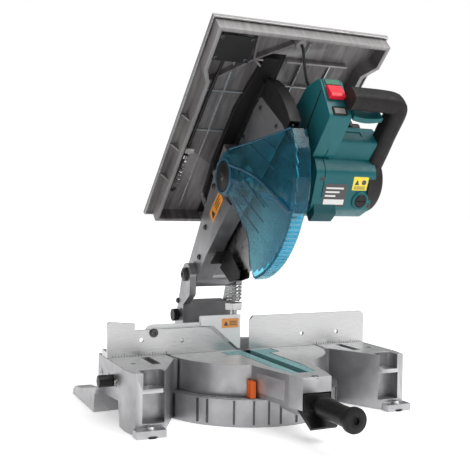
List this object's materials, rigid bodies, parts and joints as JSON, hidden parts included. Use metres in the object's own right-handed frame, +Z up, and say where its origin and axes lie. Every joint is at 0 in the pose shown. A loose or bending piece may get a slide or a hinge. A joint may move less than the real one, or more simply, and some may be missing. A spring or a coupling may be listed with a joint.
{
  "type": "table-top mitre saw",
  "caption": "Table-top mitre saw: turntable base with fences, tilting head with guarded blade and motor, and a small saw table on top.",
  "frame": {"origin": "on the turntable axis, at the underside of the base", "axes": "+Z up, +X to the right of an operator who stands at -Y, the fence face is the plane y = 0"},
  "size_m": [0.493, 0.5445, 0.6241],
  "materials": {
    "cast_aluminium": "satin, bead-blasted",
    "painted_white": "satin paint",
    "painted_cast": "cast, matt",
    "teal_plastic": "moulded",
    "teal_clear": "clear tinted plastic",
    "black_plastic": "moulded, fine grain",
    "rubber": "matt",
    "steel": "machined",
    "blade_steel": "ground",
    "orange_paint": "painted",
    "green_plastic": "moulded",
    "red_plastic": "moulded",
    "grey_plastic": "moulded",
    "copper_winding": "enamelled wire on laminations"
  },
  "bodies": {
    "base": {"base_casting": "cast_aluminium", "mitre_scale": "cast_aluminium", "fence_left": "cast_aluminium", "fence_right": "cast_aluminium", "fence_bolt_left": "steel", "fence_bolt_right": "steel", "sub_fence_screw": "black_plastic", "turntable_bolt": "steel"},
    "sub_fence": {"sub_fence": "painted_white"},
    "side_screw": {"side_clamp_screw": "black_plastic"},
    "turntable": {"turntable": "cast_aluminium", "kerf_board_left": "teal_clear", "kerf_board_right": "teal_clear", "mitre_pointer": "orange_paint", "grip_rod": "steel", "bevel_shaft": "steel", "return_spring": "steel"},
    "grip": {"mitre_grip": "black_plastic"},
    "detent": {"detent_lever": "black_plastic"},
    "pin": {"spring_pin": "steel"},
    "bevel": {"bevel_bracket": "cast_aluminium", "hinge_pin": "steel"},
    "bevel_lever": {"bevel_lock_lever": "black_plastic"},
    "stop": {"stop_pin": "black_plastic"},
    "head": {"head_casting": "cast_aluminium", "dust_chute": "black_plastic", "spindle_bearing": "steel", "belt_housing": "teal_plastic", "drive_belt": "rubber", "motor_housing": "teal_plastic", "motor_stator": "copper_winding", "brush_cap_front": "black_plastic", "brush_cap_back": "black_plastic", "handle": "black_plastic", "table_lock_rod": "steel", "riving_knife": "steel", "cover_pin": "black_plastic", "control_cable": "rubber"},
    "trigger": {"trigger": "teal_plastic"},
    "start": {"start_button": "green_plastic"},
    "stop_switch": {"stop_paddle": "red_plastic"},
    "lock_off": {"lock_off_button": "grey_plastic"},
    "table_lock": {"table_lock_knob": "black_plastic"},
    "upper_guard": {"guard_upper": "teal_clear", "hub_cap": "black_plastic"},
    "lower_guard": {"guard_lower": "teal_clear"},
    "blade_set": {"spindle": "steel", "inner_flange": "steel", "outer_flange": "steel", "blade": "blade_steel", "blade_bolt": "steel"},
    "rotor": {"motor_rotor": "steel"},
    "table": {"upper_table": "painted_cast", "table_insert": "black_plastic", "table_post_front": "steel", "table_post_back": "steel", "cover_plate": "black_plastic", "link_rod": "black_plastic", "tension_spring": "steel"},
    "cover": {"top_cover": "teal_clear"}
  },
  "joints": [
    {"name": "mitre_swing", "type": "hinge", "parent": "base", "child": "turntable", "pos_m": [0, 0, 0.0867], "axis": [0, 0, -1], "range_deg": [-45, 45]},
    {"name": "bevel_tilt", "type": "hinge", "parent": "turntable", "child": "bevel", "pos_m": [0, 0.1505, 0.0867], "axis": [0, -1, 0], "range_deg": [0, 45]},
    {"name": "head_pivot", "type": "hinge", "parent": "bevel", "child": "head", "pos_m": [0, 0.138, 0.2], "axis": [1, 0, 0], "range_deg": [0, 39.5], "stiffness_Nm_per_rad": 45, "springref_deg": -68.75, "deforming": ["return_spring"]},
    {"name": "guard_upper_turn", "type": "hinge", "parent": "head", "child": "upper_guard", "pos_m": [0, -0.01637, 0.36583], "axis": [-1, 0, 0], "range_deg": [0, 45.5]},
    {"name": "guard_lower_turn", "type": "hinge", "parent": "head", "child": "lower_guard", "pos_m": [0, -0.01637, 0.36583], "axis": [-1, 0, 0], "range_deg": [0, 75.5]},
    {"name": "blade_spin", "type": "hinge", "parent": "head", "child": "blade_set", "pos_m": [0, -0.01637, 0.36583], "axis": [1, 0, 0], "continuous": true},
    {"name": "rotor_spin", "type": "hinge", "parent": "head", "child": "rotor", "pos_m": [0, -0.10751, 0.36194], "axis": [1, 0, 0], "continuous": true},
    {"name": "table_height", "type": "slide", "parent": "head", "child": "table", "axis": [0, 0.682, 0.7314], "range_m": [0, 0.04], "deforming": ["control_cable"]},
    {"name": "cover_lift", "type": "hinge", "parent": "head", "child": "cover", "pos_m": [0, 0.20075, 0.36846], "axis": [-1, 0, 0], "range_deg": [0, 25]},
    {"name": "trigger_pull", "type": "slide", "parent": "head", "child": "trigger", "axis": [0, -0.7314, 0.682], "range_m": [0, 0.005], "stiffness_N_per_m": 600, "springref_m": -0.004},
    {"name": "start_press", "type": "slide", "parent": "head", "child": "start", "axis": [0, 0.8838, -0.4679], "range_m": [0, 0.003], "stiffness_N_per_m": 600, "springref_m": -0.002},
    {"name": "stop_press", "type": "hinge", "parent": "head", "child": "stop_switch", "pos_m": [0.048, -0.17766, 0.48944], "axis": [1, 0, 0], "range_deg": [0, 6], "stiffness_Nm_per_rad": 0.5, "springref_deg": -17.19},
    {"name": "lock_off_press", "type": "slide", "parent": "head", "child": "lock_off", "axis": [0, 0.8838, -0.4679], "range_m": [0, 0.002], "stiffness_N_per_m": 600, "springref_m": -0.002},
    {"name": "table_lock_turn", "type": "hinge", "parent": "head", "child": "table_lock", "pos_m": [0.11, -0.11944, 0.44006], "axis": [1, 0, 0], "range_deg": [0, 90]},
    {"name": "grip_turn", "type": "hinge", "parent": "turntable", "child": "grip", "pos_m": [0, -0.28, 0.05], "axis": [0, 1, 0], "range_deg": [0, 180]},
    {"name": "detent_squeeze", "type": "hinge", "parent": "turntable", "child": "detent", "pos_m": [0, -0.216, 0.062], "axis": [-1, 0, 0], "range_deg": [0, 4], "stiffness_Nm_per_rad": 6, "springref_deg": -8.59},
    {"name": "pin_slide", "type": "slide", "parent": "turntable", "child": "pin", "axis": [0, 0, -1], "range_m": [0, 0.056]},
    {"name": "sub_fence_flip", "type": "hinge", "parent": "base", "child": "sub_fence", "pos_m": [-0.156, 0.0073, 0.122], "axis": [0, -1, 0], "range_deg": [0, 180]},
    {"name": "side_screw_turn", "type": "hinge", "parent": "base", "child": "side_screw", "pos_m": [-0.235, -0.03, 0.06], "axis": [1, 0, 0], "range_deg": [0, 180]},
    {"name": "bevel_lock_turn", "type": "hinge", "parent": "bevel", "child": "bevel_lever", "pos_m": [0, 0.2, 0.0867], "axis": [0, 1, 0], "range_deg": [0, 50]},
    {"name": "stop_pin_slide", "type": "slide", "parent": "bevel", "child": "stop", "axis": [-1, 0, 0], "range_m": [0, 0.006]}
  ],
  "couplings": [
    {"joint": "guard_upper_turn", "follows": "head_pivot", "ratio": 1.1392},
    {"joint": "guard_lower_turn", "follows": "head_pivot", "ratio": 1.8987},
    {"joint": "pin_slide", "follows": "head_pivot", "m_per_rad": 0.073285},
    {"joint": "rotor_spin", "follows": "blade_spin", "ratio": 2}
  ]
}
